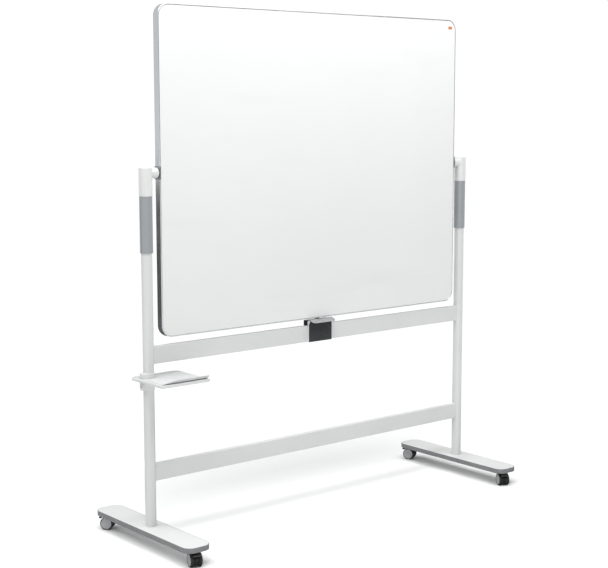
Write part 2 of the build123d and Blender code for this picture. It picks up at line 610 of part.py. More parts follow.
# ---------------------------------------------------------------- export
def sub_parts():
    parts = {
        "board_core": board_core(),
        "writing_sheet_front": writing_sheet(-1),
        "writing_sheet_back": writing_sheet(1),
        "board_rim": board_rim(),
        "latch_keepers": latch_keepers(),
        "corner_tag": corner_tag(),
        "pivot_brackets": [pivot_bracket(side) for side in SIDES],
        "pivot_bushes": [pivot_bush(side) for side in SIDES],
        "pivot_head_left": pivot_head(-1),
        "pivot_head_right": pivot_head(1),
        "post_left": post(-1),
        "post_right": post(1),
        "post_inserts": [post_insert(side) for side in SIDES],
        "grip_sleeves": [grip_sleeve(side) for side in SIDES],
        "upper_beam": beam(UPPER_BEAM_Z),
        "lower_beam": beam(LOWER_BEAM_Z),
        "beam_spigots": [beam_spigot(side, z) for side in SIDES for z in (UPPER_BEAM_Z, LOWER_BEAM_Z)],
        "frame_screws": frame_screws(),
        "foot_deck_left": foot_deck(-1),
        "foot_deck_right": foot_deck(1),
        "foot_edge_bands": [foot_edge(side) for side in SIDES],
        "castor_sockets": [castor_socket(x, y) for x, y in castor_places()],
        "castor_stems": [castor_stem(x, y) for x, y in castor_places()],
        "latch_saddle": Pos(LATCH_X, 0, 0) * latch_saddle(),
        "latch_cover": Pos(LATCH_X, 0, 0) * latch_cover(),
        "latch_housing": Pos(LATCH_X, 0, 0) * latch_housing(),
        "latch_pin": Pos(LATCH_X, 0, 0) * latch_pin(),
        "latch_lever": Pos(LATCH_X, 0, 0) * latch_lever(),
        "latch_bolt": Pos(LATCH_X, 0, 0) * latch_bolt(),
        "tray_base": tray_base(),
        "tray_insert": tray_insert(),
        "tray_screw": tray_screw(),
    }
    castor = {
        "housing": castor_housing(),
        "axle": castor_axle(),
        "pedal": castor_pedal(),
        "tyre_a": castor_tyre(-1),
        "hub_a": castor_hub(-1),
        "tyre_b": castor_tyre(1),
        "hub_b": castor_hub(1),
    }
    for corner, (sx, sy, angle) in CASTOR_ANGLES.items():
        place = Pos(sx * POST_X, sy * CASTOR_Y, 0) * Rot(0, 0, angle)
        for piece, shape in castor.items():
            parts[f"castor_{piece}_{corner}"] = place * shape
    return parts


os.makedirs("parts", exist_ok=True)
for name, shape in sub_parts().items():
    solid = Compound(children=[Part() + item for item in shape]) if isinstance(shape, list) else shape
    export_step(solid, f"parts/{name}.step")
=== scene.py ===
import math

import bmesh
import bpy
from mathutils import Matrix, Vector


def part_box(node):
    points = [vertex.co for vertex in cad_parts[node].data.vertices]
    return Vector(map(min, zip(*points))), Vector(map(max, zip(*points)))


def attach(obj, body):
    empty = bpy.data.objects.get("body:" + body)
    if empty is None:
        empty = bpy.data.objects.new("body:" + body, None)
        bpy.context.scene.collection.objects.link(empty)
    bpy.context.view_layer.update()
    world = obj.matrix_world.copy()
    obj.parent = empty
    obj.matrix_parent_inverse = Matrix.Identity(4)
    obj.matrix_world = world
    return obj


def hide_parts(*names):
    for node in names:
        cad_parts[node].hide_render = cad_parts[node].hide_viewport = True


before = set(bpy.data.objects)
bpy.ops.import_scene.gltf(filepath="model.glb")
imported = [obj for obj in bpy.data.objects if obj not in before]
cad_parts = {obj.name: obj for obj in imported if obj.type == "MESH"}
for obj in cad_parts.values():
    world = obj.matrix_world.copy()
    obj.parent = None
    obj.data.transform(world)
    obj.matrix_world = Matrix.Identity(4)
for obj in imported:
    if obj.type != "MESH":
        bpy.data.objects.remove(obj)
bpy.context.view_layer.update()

# Rolling whiteboard. Shapes are drawn in millimetres in the CAD frame: +X right, -Y front, +Z up.
MM = 0.001
SIDES = (-1, 1)
CORNERS = {
    "front_left": (-1, -1, 253.0),
    "front_right": (1, -1, 243.0),
    "back_left": (-1, 1, 127.0),
    "back_right": (1, 1, 113.0),
}


class Span:
    """A CAD node's box at rest, in millimetres."""

    def __init__(self, node):
        low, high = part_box(node)
        self.x0, self.y0, self.z0 = (value / MM for value in low)
        self.x1, self.y1, self.z1 = (value / MM for value in high)
        self.x = (self.x0 + self.x1) / 2
        self.y = (self.y0 + self.y1) / 2
        self.z = (self.z0 + self.z1) / 2
        self.w = self.x1 - self.x0
        self.d = self.y1 - self.y0
        self.h = self.z1 - self.z0


# ---------------------------------------------------------------- mesh helpers
def rounded_rect(width, depth, corner, steps=8):
    """Points round a rounded rectangle centred on the origin. corner is one radius, or (back, front)."""
    back, front = corner if isinstance(corner, tuple) else (corner, corner)
    points = []
    quarters = ((1, 1, back), (-1, 1, back), (-1, -1, front), (1, -1, front))
    for quarter, (sx, sy, radius) in enumerate(quarters):
        for step in range(steps + 1):
            angle = math.radians(90 * (quarter + step / steps))
            points.append((sx * (width / 2 - radius) + radius * math.cos(angle),
                           sy * (depth / 2 - radius) + radius * math.sin(angle)))
    return points


def arc_points(start, middle, end, steps):
    """Points on the circular arc through three points in a plane."""
    (ax, ay), (bx, by), (cx, cy) = start, middle, end
    twice = 2 * (ax * (by - cy) + bx * (cy - ay) + cx * (ay - by))
    ux = ((ax**2 + ay**2) * (by - cy) + (bx**2 + by**2) * (cy - ay) + (cx**2 + cy**2) * (ay - by)) / twice
    uy = ((ax**2 + ay**2) * (cx - bx) + (bx**2 + by**2) * (ax - cx) + (cx**2 + cy**2) * (bx - ax)) / twice
    radius = math.hypot(ax - ux, ay - uy)
    first = math.atan2(ay - uy, ax - ux)
    last = math.atan2(cy - uy, cx - ux)
    sweep = (last - first + math.pi) % (2 * math.pi) - math.pi
    angles = [first + sweep * step / steps for step in range(steps + 1)]
    return [(ux + radius * math.cos(a), uy + radius * math.sin(a)) for a in angles]


def loft(loops, closed=False):
    """A skin over loops of equal length, capped at both ends, or joined end to end if closed."""
    bm = bmesh.new()
    rows = [[bm.verts.new(point) for point in loop] for loop in loops]
    pairs = list(zip(rows, rows[1:]))
    if closed:
        pairs.append((rows[-1], rows[0]))
    else:
        bm.faces.new(rows[0])
        bm.faces.new(rows[-1])
    for lower, upper in pairs:
        for i in range(len(lower)):
            j = (i + 1) % len(lower)
            bm.faces.new((lower[i], lower[j], upper[j], upper[i]))
    bmesh.ops.recalc_face_normals(bm, faces=bm.faces)
    return bm


def turned(profile, axis, centre, steps=56, closed=False):
    """A turned shape: profile is (radius, distance along the axis), and centre is the axis's place."""
    loops = []
    for radius, along in profile:
        loop = []
        for step in range(steps):
            angle = 2 * math.pi * step / steps
            u = centre[0] + radius * math.cos(angle)
            v = centre[1] + radius * math.sin(angle)
            loop.append({"X": (along, u, v), "Y": (u, along, v), "Z": (u, v, along)}[axis])
        loops.append(loop)
    return loft(loops, closed)


def soften(bm, width, segments=3, angle=32):
    """Rounds every edge sharper than an angle in degrees."""
    bmesh.ops.recalc_face_normals(bm, faces=bm.faces)
    limit = math.radians(angle)
    sharp = [edge for edge in bm.edges if len(edge.link_faces) == 2 and edge.calc_face_angle(0) > limit]
    bmesh.ops.bevel(bm, geom=sharp, offset=width, segments=segments, profile=0.5, affect="EDGES",
                    clamp_overlap=True)
    return bm


def extruded(outline, start, end, axis, bevel=0.0, segments=3):
    """A flat outline pulled along an axis, with its edges rounded."""
    order = {
        "X": lambda u, v, w: (w, u, v),
        "Y": lambda u, v, w: (u, w, v),
        "Z": lambda u, v, w: (u, v, w),
    }[axis]
    bm = loft([[order(u, v, along) for u, v in outline] for along in (start, end)])
    return soften(bm, bevel, segments) if bevel else bm


def block(x0, x1, y0, y1, z0, z1, bevel=0.0, segments=3):
    return extruded([(x0, y0), (x1, y0), (x1, y1), (x0, y1)], z0, z1, "Z", bevel, segments)


def upright(width, depth, corner, profile, x=0.0, y=0.0, steps=10, closed=False):
    """An upright rounded-rectangle shape: profile is (inset, height)."""
    radii = corner if isinstance(corner, tuple) else (corner, corner)
    return loft([[(x + u, y + v, z) for u, v in
                  rounded_rect(width - 2 * inset, depth - 2 * inset,
                               tuple(max(radius - inset, 0.8) for radius in radii), steps)]
                 for inset, z in profile], closed)


def moved(bm, matrix):
    bmesh.ops.transform(bm, matrix=matrix, verts=bm.verts)
    return bm


def sheet_of(rows, thickness, bevel):
    """A sheet of even thickness whose middle surface passes through rows of points."""
    bm = bmesh.new()
    grid = [[bm.verts.new(point) for point in row] for row in rows]
    for lower, upper in zip(grid, grid[1:]):
        for i in range(len(lower) - 1):
            bm.faces.new((lower[i], lower[i + 1], upper[i + 1], upper[i]))
    bmesh.ops.recalc_face_normals(bm, faces=bm.faces)
    solid = modified(bm, "SOLIDIFY", thickness=thickness, offset=0.0, use_even_offset=True)
    return soften(solid, bevel, 3, 50)


def merged(*parts):
    whole = bmesh.new()
    for part in parts:
        mesh = bpy.data.meshes.new("part")
        part.to_mesh(mesh)
        part.free()
        whole.from_mesh(mesh)
        bpy.data.meshes.remove(mesh)
    return whole


def temporary(bm):
    mesh = bpy.data.meshes.new("temporary")
    bm.to_mesh(mesh)
    bm.free()
    obj = bpy.data.objects.new("temporary", mesh)
    bpy.context.scene.collection.objects.link(obj)
    return obj


def modified(bm, kind, **settings):
    """The mesh after one modifier."""
    obj = temporary(bm)
    modifier = obj.modifiers.new("step", kind)
    for key, value in settings.items():
        setattr(modifier, key, value)
    mesh = bpy.data.meshes.new_from_object(obj.evaluated_get(bpy.context.evaluated_depsgraph_get()))
    result = bmesh.new()
    result.from_mesh(mesh)
    bpy.data.objects.remove(obj)
    bpy.data.meshes.remove(mesh)
    return result


def boolean(bm, operation, *others):
    for other in others:
        tool = temporary(other)
        bm = modified(bm, "BOOLEAN", operation=operation, solver="EXACT", object=tool)
        bpy.data.objects.remove(tool)
    return bm


def piece(name, bm, body, slot, *nodes, angle=38):
    """A finished piece: scaled to metres, smoothed, tied to its body and finish, and hiding the CAD nodes it
    replaces.
    """
    bmesh.ops.remove_doubles(bm, verts=bm.verts, dist=0.0005)
    bmesh.ops.recalc_face_normals(bm, faces=bm.faces)
    bmesh.ops.transform(bm, matrix=Matrix.Scale(MM, 4), verts=bm.verts)
    mesh = bpy.data.meshes.new(name)
    bm.to_mesh(mesh)
    bm.free()
    mesh.shade_smooth()
    mesh.set_sharp_from_angle(angle=math.radians(angle))
    obj = bpy.data.objects.new(name, mesh)
    bpy.context.scene.collection.objects.link(obj)
    obj.modifiers.new("normals", "WEIGHTED_NORMAL").keep_sharp = True
    obj.data.materials.append(FINISHES[slot])
    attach(obj, body)
    if nodes:
        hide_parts(*nodes)
    return obj


# ---------------------------------------------------------------- finishes
def finish(name, colour, drift, rough, grain, metallic=0.0, specular=0.5, coat=0.0, blotch=5.0,
           streak=None, cells=False, wear=None):
    """A procedural finish over object coordinates.

    colour and drift are the ends of a slow change of colour, blotch is its scale, and rough is the range of
    roughness. grain is (scale, depth in metres) of the fine relief, and cells makes it cellular. streak is
    (stretch, scale, amount) of directional marks. wear is (colour, amount) of rubbed edges.
    """
    made = bpy.data.materials.new(name)
    made.use_nodes = True
    nodes = made.node_tree.nodes
    links = made.node_tree.links
    shader = nodes["Principled BSDF"]
    shader.inputs["Metallic"].default_value = metallic
    shader.inputs["Specular IOR Level"].default_value = specular
    shader.inputs["Coat Weight"].default_value = coat
    shader.inputs["Coat Roughness"].default_value = 0.08
    where = nodes.new("ShaderNodeTexCoord").outputs["Object"]

    def noise(scale, detail, stretch=None):
        vector = where
        if stretch:
            mapping = nodes.new("ShaderNodeMapping")
            mapping.inputs["Scale"].default_value = stretch
            links.new(where, mapping.inputs["Vector"])
            vector = mapping.outputs["Vector"]
        texture = nodes.new("ShaderNodeTexNoise")
        texture.inputs["Scale"].default_value = scale
        texture.inputs["Detail"].default_value = detail
        links.new(vector, texture.inputs["Vector"])
        return texture.outputs[0]

    def ranged(value, from_low, from_high, to_low, to_high):
        node = nodes.new("ShaderNodeMapRange")
        for key, number in zip(("From Min", "From Max", "To Min", "To Max"),
                               (from_low, from_high, to_low, to_high)):
            node.inputs[key].default_value = number
        links.new(value, node.inputs["Value"])
        return node.outputs["Result"]

    def mixed(factor, first, second):
        node = nodes.new("ShaderNodeMix")
        node.data_type = "RGBA"
        links.new(factor, node.inputs[0])
        for index, value in ((6, first), (7, second)):
            if isinstance(value, tuple):
                node.inputs[index].default_value = (*value, 1.0)
            else:
                links.new(value, node.inputs[index])
        return node.outputs[2]

    def added(first, second, operation="ADD"):
        node = nodes.new("ShaderNodeMath")
        node.operation = operation
        links.new(first, node.inputs[0])
        links.new(second, node.inputs[1])
        return node.outputs[0]

    slow = noise(blotch, 4.0)
    tint = mixed(ranged(slow, 0.35, 0.65, 0.0, 1.0), colour, drift)
    gloss = ranged(noise(blotch * 3.1, 3.0), 0.35, 0.65, *rough)
    if streak:
        stretch, scale, amount = streak
        marks = noise(scale, 3.0, stretch)
        darker = tuple(channel * (1 - amount) for channel in colour)
        tint = mixed(ranged(marks, 0.55, 0.8, 0.0, 1.0), tint, darker)
        gloss = added(gloss, ranged(marks, 0.3, 0.7, 0.0, amount))
    if wear:
        rub_colour, amount = wear
        edge = ranged(nodes.new("ShaderNodeNewGeometry").outputs["Pointiness"], 0.51, 0.60, 0.0, amount)
        rubbed = added(edge, ranged(noise(160.0, 3.0), 0.4, 0.6, 0.3, 1.0), "MULTIPLY")
        tint = mixed(rubbed, tint, rub_colour)
    links.new(tint, shader.inputs["Base Color"])
    links.new(gloss, shader.inputs["Roughness"])
    scale, depth = grain
    if cells:
        texture = nodes.new("ShaderNodeTexVoronoi")
        texture.inputs["Scale"].default_value = scale
        links.new(where, texture.inputs["Vector"])
        relief = texture.outputs["Distance"]
    else:
        relief = noise(scale, 3.0, streak[0] if streak and metallic else None)
    bump = nodes.new("ShaderNodeBump")
    bump.inputs["Strength"].default_value = 0.6
    bump.inputs["Distance"].default_value = depth
    links.new(relief, bump.inputs["Height"])
    links.new(bump.outputs["Normal"], shader.inputs["Normal"])
    return made


ALONG_X = (0.04, 1.0, 1.0)
ACROSS_Y = (0.05, 1.0, 0.05)
FINISHES = {
    "honeycomb": finish("paper_honeycomb", (0.62, 0.52, 0.38), (0.7, 0.6, 0.45), (0.7, 0.9), (110.0, 0.002),
                        cells=True),
    "writing_surface": finish("white_enamel", (0.79, 0.8, 0.792), (0.81, 0.818, 0.81), (0.14, 0.22),
                              (260.0, 0.00003), coat=0.4, blotch=1.4, streak=((0.5, 1.0, 3.2), 3.0, 0.02)),
    "rim_metal": finish("anodised_rim", (0.76, 0.785, 0.81), (0.8, 0.82, 0.84), (0.15, 0.2), (900.0, 0.00004),
                        metallic=1.0, blotch=3.0, streak=(ACROSS_Y, 700.0, 0.05)),
    "black_plastic": finish("black_moulding", (0.011, 0.011, 0.012), (0.017, 0.017, 0.018), (0.34, 0.46),
                            (1500.0, 0.00006), specular=0.35, blotch=30.0, wear=((0.08, 0.08, 0.085), 0.5)),
    "tag_colour": finish("orange_film", (0.63, 0.19, 0.06), (0.66, 0.22, 0.08), (0.3, 0.42), (900.0, 0.00002),
                         blotch=60.0),
    "bright_steel": finish("zinc_plate", (0.42, 0.43, 0.45), (0.5, 0.5, 0.5), (0.18, 0.3), (700.0, 0.00004),
                           metallic=1.0, blotch=40.0, streak=((1.0, 1.0, 0.06), 500.0, 0.1)),
    "white_plastic": finish("white_moulding", (0.68, 0.69, 0.683), (0.71, 0.717, 0.71), (0.34, 0.44),
                            (1300.0, 0.00004), blotch=14.0),
    "white_frame": finish("white_powder_coat", (0.65, 0.66, 0.655), (0.68, 0.688, 0.683), (0.3, 0.4),
                          (620.0, 0.00008), blotch=4.0, coat=0.15),
    "grey_sleeve": finish("grey_satin_moulding", (0.29, 0.31, 0.325), (0.305, 0.322, 0.337), (0.27, 0.3),
                          (1200.0, 0.00002), specular=0.7, blotch=5.0),
    "cast_alloy": finish("cast_alloy", (0.5, 0.5, 0.5), (0.6, 0.6, 0.6), (0.4, 0.6), (300.0, 0.0002),
                         metallic=1.0, blotch=30.0),
    "foot_board": finish("white_laminate", (0.68, 0.69, 0.682), (0.71, 0.717, 0.71), (0.3, 0.45),
                         (520.0, 0.00008), blotch=6.0, cells=True),
    "edge_band": finish("grey_edging", (0.17, 0.175, 0.185), (0.2, 0.205, 0.21), (0.4, 0.55),
                        (900.0, 0.00006), blotch=20.0, wear=((0.42, 0.42, 0.42), 0.5)),
    "black_gloss": finish("satin_black", (0.04, 0.042, 0.045), (0.048, 0.05, 0.053), (0.26, 0.36),
                          (240.0, 0.00002), specular=0.12, blotch=25.0),
    "satin_alloy": finish("satin_alloy", (0.47, 0.48, 0.49), (0.52, 0.53, 0.535), (0.26, 0.36),
                          (800.0, 0.00005), metallic=1.0, blotch=20.0, streak=(ALONG_X, 900.0, 0.12)),
    "tray_sheet": finish("pale_grey_moulding", (0.6, 0.61, 0.612), (0.64, 0.645, 0.648), (0.34, 0.48),
                         (700.0, 0.00008), blotch=16.0, cells=True),
    "tyre_black": finish("tyre_rubber", (0.018, 0.018, 0.019), (0.03, 0.03, 0.029), (0.5, 0.68),
                         (800.0, 0.0001), specular=0.35, blotch=60.0, wear=((0.09, 0.09, 0.087), 0.5)),
    "hub_grey": finish("grey_wheel_moulding", (0.4, 0.41, 0.43), (0.45, 0.46, 0.47), (0.32, 0.44),
                       (1100.0, 0.00005), blotch=50.0),
}
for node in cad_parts.values():
    for index, holder in enumerate(node.material_slots):
        slot_name = next(slot for slot in FINISHES if holder.material.name.startswith(slot))
        node.data.materials[index] = FINISHES[slot_name]

# ---------------------------------------------------------------- board
rim = Span("board_rim")
BOARD_CORNER = 45.0
LIP = 4.5
LIP_T = 1.4
WALL = 1.5
KEEPER = (9.0, 6.0)
half_t = rim.d / 2
lip_in = half_t - LIP_T
quarter_profile = [(LIP, lip_in), (LIP, half_t - 0.3), (LIP - 0.3, half_t), (1.7, half_t),
                   (0.85, half_t - 0.2), (0.25, half_t - 0.8), (0.0, half_t - 1.7)]
inner_profile = [(WALL, lip_in), (WALL, -lip_in)]
profile = ([(inset, -y) for inset, y in quarter_profile] + [(0.0, -4.0), (0.0, 4.0)]
           + quarter_profile[::-1] + inner_profile)
rim_bm = loft([[(u, y, rim.z + v) for u, v in
                rounded_rect(rim.w - 2 * inset, rim.h - 2 * inset, BOARD_CORNER - inset, 14)]
               for inset, y in profile], closed=True)
keeper_x = Span("latch_keepers").x
keeper_cuts = [block(keeper_x - KEEPER[0], keeper_x + KEEPER[0], -KEEPER[1], KEEPER[1], z - 4, z + 4)
               for z in (rim.z0, rim.z1)]
piece("rim", boolean(rim_bm, "DIFFERENCE", *keeper_cuts), "board", "rim_metal", "board_rim")

# Clips that wrap the rim and carry the shafts.
clips = Span("pivot_brackets")
CLIP_T = 1.6
FLANGE = 4.5
CLIP_HALF_H = 24.0
SHAFT_R = 6.0
clip_parts = []
for side in SIDES:
    edge = rim.x1
    outline = [(edge - FLANGE, -half_t - CLIP_T), (edge + CLIP_T, -half_t - CLIP_T),
               (edge + CLIP_T, half_t + CLIP_T), (edge - FLANGE, half_t + CLIP_T),
               (edge - FLANGE, half_t + 0.02), (edge + 0.02, half_t + 0.02),
               (edge + 0.02, -half_t - 0.02), (edge - FLANGE, -half_t - 0.02)]
    outline = [(side * x, y) for x, y in outline]
    clip_parts.append(extruded(outline, clips.z - CLIP_HALF_H, clips.z + CLIP_HALF_H, "Z", 0.7))
    shaft = [(SHAFT_R, side * (edge + 0.5)), (SHAFT_R, side * (clips.x1 - 1)), (SHAFT_R - 1, side * clips.x1)]
    clip_parts.append(turned(shaft, "X", (0, clips.z), 32))
    weld = [(SHAFT_R + 1.4, side * (edge + CLIP_T - 0.3)), (SHAFT_R + 1.2, side * (edge + CLIP_T + 0.5)),
            (SHAFT_R, side * (edge + CLIP_T + 1.3))]
    clip_parts.append(turned(weld, "X", (0, clips.z), 32))
piece("pivot_clips", merged(*clip_parts), "board", "bright_steel", "pivot_brackets")

# ---------------------------------------------------------------- posts, sleeves, heads
POST_CORNER = 16.0
HEAD_CORNER = 18.0
BOSS_R = 19.0
BUSH_R = 8.0
SLOT = (-6.0, -1.0, 1317.0, 1356.0)
HEAD_SCREW = (-3.5, 1308.0)
for side, hand in ((-1, "left"), (1, "right")):
    post = Span(f"post_{hand}")
    tube = [(0.5, post.z0), (0.0, post.z0 + 0.5), (0.0, post.z1)]
    piece(f"post_{hand}_tube", upright(post.w, post.d, POST_CORNER, tube, post.x, 0, 12),
          "base", "white_frame", f"post_{hand}")
    head = Span(f"pivot_head_{hand}")
    outer = head.x1 if side > 0 else head.x0
    width = head.d
    centre = outer - side * width / 2
    inner = outer - side * width
    boss_end = head.x0 if side > 0 else head.x1
    cap_profile = [(0.7, head.z0), (0.2, head.z0 + 0.2), (0.0, head.z0 + 0.7), (0.0, head.z1 - 3.0),
                   (0.25, head.z1 - 1.7), (0.95, head.z1 - 0.7), (2.1, head.z1 - 0.15), (3.4, head.z1)]
    cap = upright(width, width, HEAD_CORNER, cap_profile, centre, 0, 12)
    boss_profile = [(BUSH_R, boss_end), (BOSS_R - 2, boss_end), (BOSS_R - 1, boss_end + side * 0.27),
                    (BOSS_R - 0.27, boss_end + side), (BOSS_R, boss_end + side * 2), (BOSS_R, centre)]
    cap = boolean(cap, "UNION", turned(boss_profile, "X", (0, clips.z), 72))
    cap = boolean(
        cap, "DIFFERENCE",
        turned([(BUSH_R, boss_end - side * 2), (BUSH_R, centre + side * 9)], "X", (0, clips.z), 40),
        extruded([(SLOT[0], SLOT[2]), (SLOT[1], SLOT[2]), (SLOT[1], SLOT[3]), (SLOT[0], SLOT[3])],
                 inner - side, inner + side * 3, "X"),
        turned([(3.0, inner - side), (3.0, inner + side * 3)], "X", HEAD_SCREW, 24))
    piece(f"head_{hand}_cap", cap, "base", "white_plastic", f"pivot_head_{hand}")

sleeves = Span("grip_sleeves")
sleeve_parts = []
for side in SIDES:
    rings = [(3.0, sleeves.z0), (0.9, sleeves.z0), (0.25, sleeves.z0 + 0.25), (0.0, sleeves.z0 + 0.9),
             (0.0, sleeves.z1 - 0.6), (0.5, sleeves.z1 - 0.05), (3.0, sleeves.z1 - 0.05)]
    sleeve_parts.append(upright(sleeves.d, sleeves.d, HEAD_CORNER, rings,
                                side * (sleeves.x1 - sleeves.d / 2), 0, 12, closed=True))
piece("sleeves", merged(*sleeve_parts), "base", "grey_sleeve", "grip_sleeves")

# ---------------------------------------------------------------- beams
SCREW_X = (777.0, 757.0)
SCREW_HOLE_R = 3.2
post_half = Span("post_right").w / 2
post_x = Span("post_right").x
for name in ("upper_beam", "lower_beam"):
    beam = Span(name)
    loops = []
    for side in SIDES:
        loop = []
        for u, v in rounded_rect(beam.d, beam.h, 2.4, 5):
            flat = post_half - POST_CORNER
            over = max(abs(u) - flat, 0.0)
            reach = flat + math.sqrt(POST_CORNER**2 - over**2)
            loop.append((side * (post_x - reach + 0.1), u, beam.z + v))
        loops.append(loop)
    tube = loft(loops)
    holes = [turned([(SCREW_HOLE_R, beam.y1 - 1.4), (SCREW_HOLE_R, beam.y1 + 1)], "Y", (side * x, beam.z), 20)
             for side in SIDES for x in SCREW_X]
    piece(f"{name}_tube", boolean(tube, "DIFFERENCE", *holes), "base", "white_frame", name)

# ---------------------------------------------------------------- feet
BAND_T = 2.0
FOOT_CORNER = 38.0
CASTOR_Y = 267.0
SOCKET_R = 7.0
SOCKET_DEPTH = 16.0
FOOT_BOLT_Y = (-10, 10)
FOOT_BOLT_R = 6.3
band_parts = []
for side, hand in ((-1, "left"), (1, "right")):
    deck = Span(f"foot_deck_{hand}")
    corner = FOOT_CORNER - BAND_T
    slab = upright(deck.w, deck.d, corner, [(0.3, deck.z0), (0.0, deck.z0 + 0.3), (0.0, deck.z1 - 0.5),
                                            (0.15, deck.z1 - 0.15), (0.5, deck.z1)], deck.x, 0, 12)
    holes = [turned([(SOCKET_R, deck.z0 - 1), (SOCKET_R, deck.z0 + SOCKET_DEPTH)], "Z", (deck.x, y), 28)
             for y in (-CASTOR_Y, CASTOR_Y)]
    holes += [turned([(FOOT_BOLT_R, deck.z0 - 1), (FOOT_BOLT_R, deck.z1 - 7)], "Z", (deck.x, y), 28)
              for y in FOOT_BOLT_Y]
    piece(f"foot_{hand}_deck", boolean(slab, "DIFFERENCE", *holes), "base", "foot_board",
          f"foot_deck_{hand}")
    rings = [(BAND_T, deck.z0), (0.7, deck.z0), (0.2, deck.z0 + 0.2), (0.0, deck.z0 + 0.7),
             (0.0, deck.z1 - 1.0), (0.3, deck.z1 - 0.3), (1.0, deck.z1), (BAND_T, deck.z1)]
    band_parts.append(upright(deck.w + 2 * BAND_T, deck.d + 2 * BAND_T, FOOT_CORNER, rings,
                              deck.x, 0, 14, closed=True))
piece("edge_bands", merged(*band_parts), "base", "edge_band", "foot_edge_bands")

# ---------------------------------------------------------------- castors
# Each is drawn with its swivel axis at the origin and its wheels trailing along +X.
TRAIL = 20.0
WHEEL_R = 25.0
WHEEL_FACES = (10.0, 22.0)
HUB_R = 21.5
SPINE_HALF = 8.7
SPINE_R = 23.5
ARM_HALF = 4.4
PADDLE_HALF = 17.0
PADDLE_ROOT = 32
PADDLE_END = 54.0
PADDLE_CORNER = 8
PEDAL_PIVOT = (30, 42)
TOWER_X = -11
TOWER_TOP = 53
CROWN = (44, 40, 15)
CROWN_X = 8
STEM_BORE_R = 4.05
AXLE_R = 3.0
ARM_SLOT = (24, 60, 35, 52)


def on_circle(radius, first, last, steps):
    angles = [math.radians(first + (last - first) * step / steps) for step in range(steps + 1)]
    return [(TRAIL + radius * math.cos(a), WHEEL_R + radius * math.sin(a)) for a in angles]


def castor_housing():
    """Spine between the wheels, tower round the stem, and crown."""
    outline = [(TOWER_X, TOWER_TOP), (TOWER_X, 35), (-9.6, 31.6), (-6, 30)]
    outline += on_circle(SPINE_R, 167.7, 222.9, 12) + on_circle(SPINE_R, 317.1, 450, 26)
    outline.append((TRAIL, TOWER_TOP))
    spine = extruded(outline, -SPINE_HALF, SPINE_HALF, "Y", 0.9)
    slot = block(ARM_SLOT[0], ARM_SLOT[1], -ARM_HALF - 0.5, ARM_HALF + 0.5, ARM_SLOT[2], ARM_SLOT[3])
    pivot = turned([(2.05, -12), (2.05, 12)], "Y", PEDAL_PIVOT, 20)
    axle = turned([(AXLE_R, -12), (AXLE_R, 12)], "Y", (TRAIL, WHEEL_R), 24)
    stem = turned([(STEM_BORE_R, 33), (STEM_BORE_R, 60)], "Z", (0, 0), 28)
    crown_profile = [(1.0, 51.2), (0.25, 51.5), (0.0, 52.2), (0.0, 55.2), (0.5, 56.5), (2.0, 57.2)]
    crown = upright(*CROWN, crown_profile, CROWN_X)
    body = boolean(spine, "DIFFERENCE", slot)
    body = boolean(body, "UNION", crown)
    return boolean(body, "DIFFERENCE", pivot, axle, stem)


def castor_tyre(side):
    near, far = (side * face for face in WHEEL_FACES)
    section = [(HUB_R, near), (HUB_R + 1.7, near), (WHEEL_R - 0.75, near + side * 0.35),
               (WHEEL_R - 0.15, near + side * 1.2), (WHEEL_R, near + side * 2.4), (WHEEL_R, far - side * 2.4),
               (WHEEL_R - 0.15, far - side * 1.2), (WHEEL_R - 0.75, far - side * 0.35), (HUB_R + 1.7, far),
               (HUB_R, far)]
    return turned(section, "Y", (TRAIL, WHEEL_R), 72, closed=True)


def castor_hub(side):
    near, far = (side * face for face in WHEEL_FACES)
    section = [(AXLE_R + 0.05, far - side * 2.5), (AXLE_R + 0.05, near + side * 0.3),
               (HUB_R - 0.4, near + side * 0.3), (HUB_R - 0.03, near + side * 0.7),
               (HUB_R - 0.03, far - side * 0.8), (HUB_R - 0.5, far - side * 0.35),
               (HUB_R - 2.3, far - side * 0.3), (HUB_R - 2.9, far - side * 0.6),
               (HUB_R - 3.2, far - side * 1.25), (HUB_R - 4.5, far - side * 1.45),
               (11.0, far - side * 1.4), (10.0, far - side * 1.25), (9.4, far - side * 0.75),
               (8.4, far - side * 0.5), (4.0, far - side * 0.42)]
    return turned(section, "Y", (TRAIL, WHEEL_R), 64)


def castor_pedal():
    """A paddle with rounded corners and three grip ribs, its arm and its trunnions."""
    side_view = [(PADDLE_ROOT, 50.6), (41, 50.1), (50, 48.5), (52.2, 47.3), (53.4, 45.7), (53.4, 44.2),
                 (52.5, 42.9), (49, 42.9), (46, 43.3), (41.5, 45.2), (36, 47.6), (PADDLE_ROOT, 49)]
    loops = []
    for y in (-17, -16.7, -15.8, -14.2, -12, -9, 0, 9, 12, 14.2, 15.8, 16.7, 17):
        over = max(abs(y) - (PADDLE_HALF - PADDLE_CORNER), 0.0)
        reach = PADDLE_END - PADDLE_CORNER + math.sqrt(PADDLE_CORNER**2 - over**2)
        share = (reach - PADDLE_ROOT) / (PADDLE_END - PADDLE_ROOT)
        loops.append([(PADDLE_ROOT + (x - PADDLE_ROOT) * share, y, z) for x, z in side_view])
    paddle = soften(loft(loops), 0.45, 2, 50)
    ribs = [extruded([(x - 0.7, z - 0.8), (x + 0.7, z - 1.0), (x + 0.45, z + 0.15), (x - 0.45, z + 0.25)],
                     -11, 11, "Y", 0.2, 2) for x, z in ((41, 50.1), (44.2, 49.55), (47.4, 48.95))]
    arm = extruded([(27, 40), (31, 38.6), (35, 42), (44, 44.5), (40, 49), (33, 49.8), (27.5, 44.5)],
                   -ARM_HALF, ARM_HALF, "Y", 0.4)
    trunnion = turned([(1.7, -8.5), (2.0, -8.2), (2.0, 8.2), (1.7, 8.5)], "Y", PEDAL_PIVOT, 24)
    return merged(paddle, arm, trunnion, *ribs)


